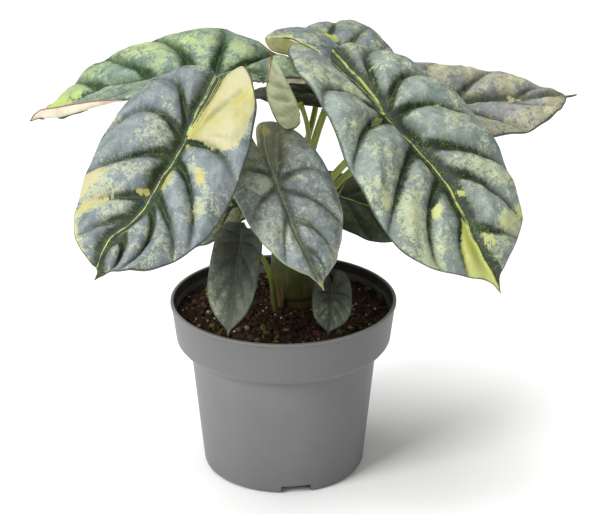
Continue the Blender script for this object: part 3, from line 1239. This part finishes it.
def stem_material():
    """The clasping sheaths: olive green, streaked along the stem, browner near the mix."""
    shader = Shader("sheaths", (0.036, 0.043, 0.007))
    streaks = shader.fibres((700, 700, 70), 4, 0.6)
    clouds = shader.noise(90, 4, 0.6)
    height = shader.node("ShaderNodeSeparateXYZ", {0: shader.place}, "Z")
    shader.paint(clouds.step(0.3, 0.7), (0.075, 0.086, 0.016))
    shader.paint(streaks.step(0.4, 0.8, 0, 0.3), (0.16, 0.18, 0.05))
    foot = height.torn(clouds, 0.03).step((SOIL_LEVEL - 0.5) * MM, (SOIL_LEVEL + 19.5) * MM, 0.8, 0)
    shader.paint(foot, (0.055, 0.036, 0.014))
    return shader.finish(streaks.step(0.3, 0.7, 0.42, 0.6), 0.35, shader.bump(streaks, 0.35, 0.0005))


def dry_material():
    """A dried outer sheath: papery, brown, with lengthwise fibres."""
    shader = Shader("dry_sheath", (0.06, 0.035, 0.014))
    fibres = shader.fibres((1200, 1200, 110), 4, 0.7)
    shader.paint(fibres.step(0.3, 0.7), (0.16, 0.1, 0.045))
    shader.paint(shader.noise(150, 4, 0.6).step(0.45, 0.7, 0, 0.7), (0.04, 0.026, 0.012))
    return shader.finish(0.75, 0.25, shader.bump(fibres, 0.6, 0.0006))


def stem_radius(height):
    return np.interp(height, *np.array(STEM_PROFILE, float).T)


def make_stem(material, dry):
    """The stem base with one bulge under each stalk, then sheaths that wrap up into the stalks."""
    sheathed = {}
    for number, (name, leaf) in enumerate(LEAVES.items()):
        if "socket" in leaf["stalk"] and "middle" not in leaf["stalk"]:
            sheathed[name] = SHEATH_BOTTOM + SHEATH_STEP * (number % 4)
    turns = even_turns(STEM_SIDES)
    sockets = [math.radians(LEAVES[name]["stalk"]["socket"]) for name in sheathed]
    bulge = sum(bell(angle_between(turns, turn), BULGE_WIDTH) for turn in sockets)
    rings = []
    top = STEM_PROFILE[-1][0]
    for height in np.linspace(STEM_PROFILE[0][0], top, STEM_RINGS):
        rise = np.clip((height - BULGE_START) / BULGE_RISE, 0, 1)
        reach = stem_radius(height) - BULGE_SINK * rise + BULGE * rise * bulge - STEM_INSET
        ripple = STEM_RIPPLE * np.sin(3 * turns + height * 0.12)
        rings.append(arc(STEM_CENTRE, reach + ripple, turns, height))
    middle = np.array([*STEM_CENTRE, top])
    top_edge = rings[-1]
    for share, depth in TOP_DISH:
        ring = middle + (top_edge - middle) * share
        ring[:, 2] = top - depth
        rings.append(ring)
    trunk = closed_body("trunk", rings, (*STEM_CENTRE, STEM_PROFILE[0][0]), (*STEM_CENTRE, top - depth))
    dress(trunk, "stem", material, instead_of=["stem_base"])
    for name, bottom in sheathed.items():
        make_sheath(f"sheath_{name}", LEAVES[name], bottom, material)
    for side, heading, spread, peak, seed in DRY_SHEATHS:
        make_dry_sheath(f"dry_sheath_{side}", math.radians(heading), spread, peak, dry, seed)


def strip(name, rings, thickness):
    """A thin closed skin over rings of points in mm, each ring an open arc."""
    rings = np.asarray(rings, float)
    rows, columns, _ = rings.shape
    normal = unit(np.cross(np.gradient(rings, axis=1), np.gradient(rings, axis=0)))
    thin = thickness * (1 - STRIP_EDGE * np.abs(np.linspace(-1, 1, columns)) ** 3)[None, :, None]
    outer, inner = rings + normal * thin / 2, rings - normal * thin / 2
    number = np.arange(rows * columns).reshape(rows, columns)
    sheet = np.stack([number[1:, :-1], number[1:, 1:], number[:-1, 1:], number[:-1, :-1]], -1)
    rim = np.concatenate([number[0], number[1:, -1], number[-1, -2::-1], number[-2:0:-1, 0]])
    faces = skin_faces(sheet.reshape(-1, 4).tolist(), rim.tolist(), number.size)
    made = mesh_object(name, np.vstack([outer.reshape(-1, 3), inner.reshape(-1, 3)]) * MM, faces)
    mesh = bmesh.new()
    mesh.from_mesh(made.data)
    bmesh.ops.recalc_face_normals(mesh, faces=mesh.faces)
    mesh.to_mesh(made.data)
    mesh.free()
    return made


def make_sheath(name, leaf, bottom, material):
    """A winged sheath: it clasps the stem below and narrows into its stalk above."""
    path = stalk_path(leaf)
    across = np.linspace(-1, 1, SHEATH_COLUMNS)
    clasp_end = np.array([*STEM_CENTRE, CLASP_TOP])
    rings = []
    for share in np.linspace(0, 1, SHEATH_RINGS):
        if share < CLASP:
            height = bottom + (clasp_end[2] - bottom) * share / CLASP
            centre = np.array([*STEM_CENTRE, height])
            radius = stem_radius(height) + SHEATH_GAP
            spread = math.radians(CLASP_SPREAD) * (1 - CLASP_NARROWING * share / CLASP)
        else:
            part = (share - CLASP) / (1 - CLASP)
            on_path = bezier(path, [WING_START + WING_REACH * part])[0]
            blend = np.clip(part * WING_LEAVING, 0, 1) ** WING_LEAVING_POWER
            centre = clasp_end * (1 - blend) + on_path * blend
            centre[2] = clasp_end[2] + (on_path[2] - clasp_end[2]) * np.clip(part * WING_RISING, 0, 1)
            radius = WING_RADIUS * (1 - blend) + (leaf["stalk"]["radius"] + WING_GAP) * blend
            spread = math.radians(WING_SPREAD + WING_WIDENING * blend)
            spread = spread * (1 - WING_TIP_NARROWING * part**3)
        turns = math.radians(leaf["stalk"]["socket"]) + across * spread
        rings.append(arc(centre, radius, turns, centre[2]))
    dress(strip(name, rings, SHEATH_THICKNESS), "stem", material)


def make_dry_sheath(name, turn, spread, top, material, seed):
    """A dried sheath that peels off the stem, ragged along its upper edge."""
    random = np.random.default_rng(seed)
    rough = random.normal(0, 1, DRY_COLUMNS + RAGGED_STEPS - 1)
    ragged = np.convolve(rough, np.ones(RAGGED_STEPS) / RAGGED_STEPS, "valid") * RAGGEDNESS
    turns = turn + np.linspace(-1, 1, DRY_COLUMNS) * spread
    foot = SOIL_LEVEL - DRY_FOOT_DEPTH
    wave = np.sin(np.arange(DRY_COLUMNS) * PEEL_WAVE_PACE + seed)
    rings = []
    for share in np.linspace(0, 1, DRY_RINGS):
        height = foot + (top + ragged - foot) * share
        peel = PEEL_START + PEEL * share**2 * (1 - PEEL_WAVE + PEEL_WAVE * wave)
        rings.append(arc(STEM_CENTRE, stem_radius(height) + peel, turns, height))
    dress(strip(name, rings, DRY_THICKNESS), "stem", material)


def pot_profile():
    """(radius, height) in mm from the middle of the underside round to the middle of the floor."""
    rounding = [
        (FOOT_RADIUS - FOOT_ROUNDING * (1 - math.sin(turn)), FOOT_ROUNDING * (1 - math.cos(turn)))
        for turn in np.radians(np.linspace(0, 90, 8))
    ]
    underside = [
        (0, 0), (RING_INNER, 0), (RING_INNER + 1, RING_RISE), (RING_OUTER - 1, RING_RISE), (RING_OUTER, 0),
    ]
    step = (BODY_TOP_RADIUS + BAND_FOOT_RADIUS) / 2 + STEP_BULGE
    outside = [
        (BODY_TOP_RADIUS, BODY_TOP_LEVEL), (BODY_TOP_RADIUS + 0.5, BODY_TOP_LEVEL + 0.35),
        (step, BODY_TOP_LEVEL + STEP_RISE),
        (BAND_FOOT_RADIUS - BAND_ROUNDING, BAND_FOOT_LEVEL - BAND_UNDERCUT),
        (BAND_FOOT_RADIUS - 0.15, BAND_FOOT_LEVEL - 0.3), (BAND_FOOT_RADIUS, BAND_FOOT_LEVEL + BAND_ROUNDING),
        (RIM_RADIUS - LIP_STEP - 0.05, POT_HEIGHT - LIP_HEIGHT - LIP_STEP - 0.4),
        (RIM_RADIUS - LIP_STEP, POT_HEIGHT - LIP_HEIGHT - LIP_STEP), (RIM_RADIUS, POT_HEIGHT - LIP_HEIGHT),
        (RIM_RADIUS, POT_HEIGHT - LIP_ROUNDING), (RIM_RADIUS - 0.16, POT_HEIGHT - 0.16),
        (RIM_RADIUS - LIP_ROUNDING, POT_HEIGHT),
    ]
    inside = [
        (RIM_RADIUS - RIM_LIP + 0.3, POT_HEIGHT), (RIM_RADIUS - RIM_LIP, POT_HEIGHT - 0.3),
        (BAND_FOOT_RADIUS - WALL, BAND_FOOT_LEVEL + BAND_ROUNDING),
        (BODY_TOP_RADIUS - WALL, BODY_TOP_LEVEL + INSIDE_STEP_RISE), (FOOT_RADIUS - WALL, FLOOR_LEVEL),
    ]
    return [*underside, *rounding, *outside, *inside, (0, FLOOR_LEVEL)]


def hole_cutter(turn):
    x, y = DRAIN_CIRCLE_RADIUS * math.cos(turn), DRAIN_CIRCLE_RADIUS * math.sin(turn)
    size = {"radius": DRAIN_HOLE_RADIUS * MM, "depth": (FLOOR_LEVEL + 2) * MM}
    bpy.ops.mesh.primitive_cylinder_add(vertices=DRAIN_HOLE_SIDES, **size)
    bpy.context.object.data.transform(Matrix.Translation(Vector((x, y, FLOOR_LEVEL / 2)) * MM))
    return bpy.context.object


def slot_cutter(turn):
    depth = FOOT_RADIUS - RING_OUTER + 2 * WALL
    place = Vector((RING_OUTER - WALL + depth / 2, 0, (FOOT_SLOT_HEIGHT - 1) / 2))
    size = Vector((depth, FOOT_SLOT_WIDTH, FOOT_SLOT_HEIGHT + 1))
    bpy.ops.mesh.primitive_cube_add(size=1)
    made = bpy.context.object
    scale = Matrix.Diagonal((*(size * MM), 1))
    made.data.transform(Matrix.Rotation(turn, 4, "Z") @ Matrix.Translation(place * MM) @ scale)
    bevel = made.modifiers.new("corners", "BEVEL")
    bevel.width = FOOT_SLOT_ROUNDING * MM
    bevel.segments = 3
    return made


def make_pot(material):
    profile = pot_profile()
    rings = [arc((0, 0), radius, even_turns(POT_SIDES), height) for radius, height in profile[1:-1]]
    pot = closed_body("nursery_pot", rings, (0, 0, profile[0][1]), (0, 0, profile[-1][1]))
    first_slot = math.radians(FIRST_SLOT_ANGLE)
    cutters = [hole_cutter((hole + 0.5) * TAU / DRAIN_HOLES) for hole in range(DRAIN_HOLES)]
    cutters += [slot_cutter(first_slot + slot * TAU / FOOT_SLOTS) for slot in range(FOOT_SLOTS)]
    for made in cutters:
        cut = pot.modifiers.new("cut", "BOOLEAN")
        cut.operation = "DIFFERENCE"
        cut.solver = "EXACT"
        cut.object = made
    graph = bpy.context.evaluated_depsgraph_get()
    mesh = bpy.data.meshes.new_from_object(pot.evaluated_get(graph))
    pot.modifiers.clear()
    pot.data = mesh
    for made in cutters:
        bpy.data.objects.remove(made)
    mesh.polygons.foreach_set("use_smooth", [True] * len(mesh.polygons))
    mesh.set_sharp_from_angle(angle=math.radians(SHARP_ANGLE))
    dress(pot, "pot", material, instead_of=["pot"])


def pot_material():
    """Matt grey plastic: fine grain, faint flow marks, a darker band, a paler lip and a dusty inside."""
    shader = Shader("pot_plastic", (0.117, 0.119, 0.118))
    clouds = shader.noise(26, 4, 0.55)
    streaks = shader.fibres((240, 240, 14), 3, 0.6)
    specks = shader.noise(900, 2, 0.7)
    x, y, height = (shader.node("ShaderNodeSeparateXYZ", {0: shader.place}, axis) for axis in "XYZ")
    radius = shader.math("SQRT", x * x + y * y, 0.0)
    shader.paint(clouds.step(0.3, 0.7), (0.134, 0.135, 0.133))
    shader.paint(streaks.step(0.35, 0.7, 0, 0.18), (0.112, 0.112, 0.11))
    shader.paint(specks.step(0.66, 0.74, 0, 0.35), (0.08, 0.08, 0.08))
    band = height.step((BODY_TOP_LEVEL + 2) * MM, (BAND_FOOT_LEVEL + 1) * MM, 0, 0.4)
    shader.paint(band, (0.09, 0.091, 0.09))
    wall_foot, wall_top = (BODY_TOP_LEVEL + 0.5) * MM, (POT_HEIGHT - 0.5) * MM
    inner_edge = height.step(wall_foot, wall_top, (BODY_TOP_RADIUS - 0.8) * MM, (RIM_RADIUS - 1.5) * MM)
    inside = shader.math("LESS_THAN", radius, inner_edge) * height.step(wall_foot, wall_foot + 1.5 * MM)
    shader.paint(inside * 0.9, (0.018, 0.017, 0.014))
    dusty = height.step((POT_HEIGHT - 2) * MM, (POT_HEIGHT - 11) * MM) * specks.step(0.5, 0.62)
    shader.paint(inside * (dusty * 0.8), (0.06, 0.035, 0.02))
    shader.paint(height.step((POT_HEIGHT - 1.2) * MM, (POT_HEIGHT - 0.3) * MM, 0, 0.4), (0.22, 0.22, 0.22))
    normal = shader.bump(streaks, 0.12, 0.0006, shader.bump(shader.noise(2200, 2, 0.5), 0.22, 0.00025))
    return shader.finish(clouds.step(0.3, 0.7, 0.42, 0.52), 0.42, normal)


def soil_height(x, y):
    swell = np.sin(x * 0.09 + 1) * np.cos(y * 0.11)
    crumbs = np.sin(x * 0.41 + y * 0.23) * np.sin(y * 0.47 - x * 0.19 + 2)
    return SOIL_LEVEL + SOIL_LUMP * (swell + crumbs)


def inner_wall(height):
    """The pot's inner radius at a height, both in mm."""
    heights = [FLOOR_LEVEL, BODY_TOP_LEVEL + INSIDE_STEP_RISE, BAND_FOOT_LEVEL + BAND_ROUNDING, POT_HEIGHT]
    radii = [FOOT_RADIUS - WALL, BODY_TOP_RADIUS - WALL, BAND_FOOT_RADIUS - WALL, RIM_RADIUS - RIM_LIP]
    return np.interp(height, heights, radii)


def make_soil(mix, loose):
    """The mix as one body, its top crumbly, then loose crumbs, grit and perlite lying on it."""
    random = np.random.default_rng(11)
    waves = []
    for _ in range(GROUND_WAVES):
        length = random.uniform(*GROUND_WAVE_LENGTHS)
        turn = random.uniform(0, TAU)
        shift = random.uniform(0, TAU)
        pace = TAU / length
        waves.append((pace * math.cos(turn), pace * math.sin(turn), shift, GROUND_WAVE_HEIGHT * length**0.7))
    turns = even_turns(SOIL_SIDES)
    edge = inner_wall(SOIL_LEVEL) - SOIL_EDGE_GAP
    bottom = FLOOR_LEVEL + SOIL_BOTTOM_GAP
    heights = (bottom, BODY_TOP_LEVEL + INSIDE_STEP_RISE, BAND_FOOT_LEVEL + SOIL_BAND_RISE)
    rings = [arc((0, 0), inner_wall(height) - SOIL_WALL_GAP, turns, height) for height in heights]
    for share in np.linspace(1, SOIL_MIDDLE, SOIL_RINGS):
        x, y = edge * share * np.cos(turns), edge * share * np.sin(turns)
        rough = sum(tall * np.sin(across * x + up * y + shift) for across, up, shift, tall in waves)
        rings.append(np.stack([x, y, soil_height(x, y) + rough - SOIL_SINK], -1))
    made = closed_body("potting_mix", rings, (0, 0, bottom), (0, 0, SOIL_LEVEL))
    dress(made, "soil", mix, instead_of=["soil"])
    for name, amount, sizes, tones in LOOSE_PIECES:
        scatter(name, amount, sizes, tones, edge, random, loose)


def scatter(name, amount, sizes, tones, edge, random, material):
    """Loose pieces on the mix, clear of the stem and inside the pot, as one mesh."""
    few = amount < FEW_PIECES
    ball = bmesh.new()
    bmesh.ops.create_icosphere(ball, subdivisions=2 if few else 1, radius=1.0)
    shape = np.array([vertex.co for vertex in ball.verts])
    shape_faces = [[vertex.index for vertex in face.verts] for face in ball.faces]
    ball.free()
    points, faces, values = [], [], []
    while len(points) < amount:
        reach = edge * math.sqrt(random.uniform(0, 1))
        turn = random.uniform(0, TAU)
        x, y = reach * math.cos(turn), reach * math.sin(turn)
        size = random.uniform(*sizes) * random.uniform(*LOOSE_SHRINK)
        if math.hypot(x - STEM_CENTRE[0], y - STEM_CENTRE[1]) < CLEAR_OF_STEM + size or reach > edge - size:
            continue
        stretch = random.uniform(*LOOSE_STRETCH, 3)
        lumps = 1 + random.normal(0, LOOSE_LUMPS, len(shape))
        angles = random.uniform(0, TAU, 3)
        x_turn, y_turn, z_turn = (Matrix.Rotation(angle, 3, axis) for angle, axis in zip(angles, "XYZ"))
        piece = (shape * lumps[:, None] * stretch * size) @ np.array(x_turn @ y_turn @ z_turn).T
        piece += (x, y, soil_height(x, y) + size * random.uniform(*LOOSE_LIFT))
        faces += [[place + len(points) * len(shape) for place in face] for face in shape_faces]
        points.append(piece)
        values += [random.uniform(*tones)] * len(shape)
    made = mesh_object(f"mix_{name}", np.vstack(points) * MM, faces, smooth=few)
    add_values(made, "tone", values)
    dress(made, "soil", material)


def soil_material():
    """Dark peat with redder crumbs and a little moss."""
    shader = Shader("potting_mix", (0.010, 0.006, 0.004))
    crumbs = shader.noise(520, 4, 0.7)
    shader.paint(crumbs.step(0.35, 0.7), (0.055, 0.028, 0.015))
    shader.paint(shader.noise(45, 4, 0.6).step(0.55, 0.75, 0, 0.5), (0.05, 0.055, 0.015))
    return shader.finish(0.92, 0.2, shader.bump(crumbs, 0.8, 0.0012))


def loose_material():
    """Loose pieces take their colour from their tone: crumbs, bark, moss, grit, then perlite."""
    shader = Shader("loose_pieces", None)
    crumbs = shader.noise(900, 3, 0.7)
    shader.colour = shader.node("ShaderNodeValToRGB", {"Fac": shader.value("tone")})
    stops = shader.colour.socket.node.color_ramp.elements
    stops[0].color = (*LOOSE_TINTS[0][1], 1)
    stops[1].color = (*LOOSE_TINTS[-1][1], 1)
    for spot, tint in LOOSE_TINTS[1:-1]:
        stops.new(spot).color = (*tint, 1)
    shader.paint(crumbs.step(0.3, 0.65, 0.6, 0), (0.01, 0.006, 0.004))
    return shader.finish(0.85, 0.25, shader.bump(crumbs, 0.6, 0.0006))


def add_object(name, data, place, direction):
    """A camera or light that looks along a direction."""
    made = bpy.data.objects.new(name, data)
    made.location = place
    made.rotation_euler = direction.to_track_quat("-Z", "Y").to_euler()
    bpy.context.scene.collection.objects.link(made)
    return made


def make_camera():
    data = bpy.data.cameras.new("camera")
    data.sensor_width = SENSOR
    data.lens = FOCAL_PIXELS / IMAGE_WIDTH * SENSOR
    forward = Vector((0, math.cos(CAMERA_SLOPE), -math.sin(CAMERA_SLOPE)))
    bpy.context.scene.camera = add_object("camera", data, AIM - forward * CAMERA_DISTANCE, forward)


def make_floor():
    shader = Shader("studio_floor", (0.86, 0.86, 0.86))
    shader.paint(shader.noise(1.5, 2, 0.5), (0.9, 0.9, 0.9))
    corners = [(-FLOOR_REACH, -FLOOR_REACH, 0), (FLOOR_REACH, -FLOOR_REACH, 0)]
    corners += [(FLOOR_REACH, FLOOR_REACH, 0), (-FLOOR_REACH, FLOOR_REACH, 0)]
    floor = mesh_object("studio_floor", corners, [[0, 1, 2, 3]])
    floor.data.materials.append(shader.finish(0.9, 0.1))


def area_light(name, place, size, power):
    data = bpy.data.lights.new(name, "AREA")
    data.size = size
    data.energy = power
    add_object(name, data, place, AIM - Vector(place))


def make_lights():
    """A pale world, a key from the front left, a soft sun from above and a weak fill from the right."""
    world = bpy.data.worlds.new("studio")
    world.use_nodes = True
    background = world.node_tree.nodes["Background"]
    background.inputs["Color"].default_value = (1, 1, 1, 1)
    background.inputs["Strength"].default_value = 0.42
    bpy.context.scene.world = world
    bpy.context.scene.view_settings.view_transform = "Standard"
    area_light("key", place=(-0.85, -0.75, 0.8), size=0.6, power=18)
    sky = bpy.data.lights.new("top", "SUN")
    sky.energy = 2.5
    sky.angle = math.radians(38)
    add_object("top", sky, (0, 0, 0), -Vector((-0.25, 0.1, 1.5)))
    area_light("fill", place=(1.1, -0.8, 0.7), size=1.0, power=2)


make_camera()
make_floor()
make_lights()
make_pot(pot_material())
make_soil(soil_material(), loose_material())
make_stem(stem_material(), dry_material())
make_stalks(stalk_material())
make_leaves()
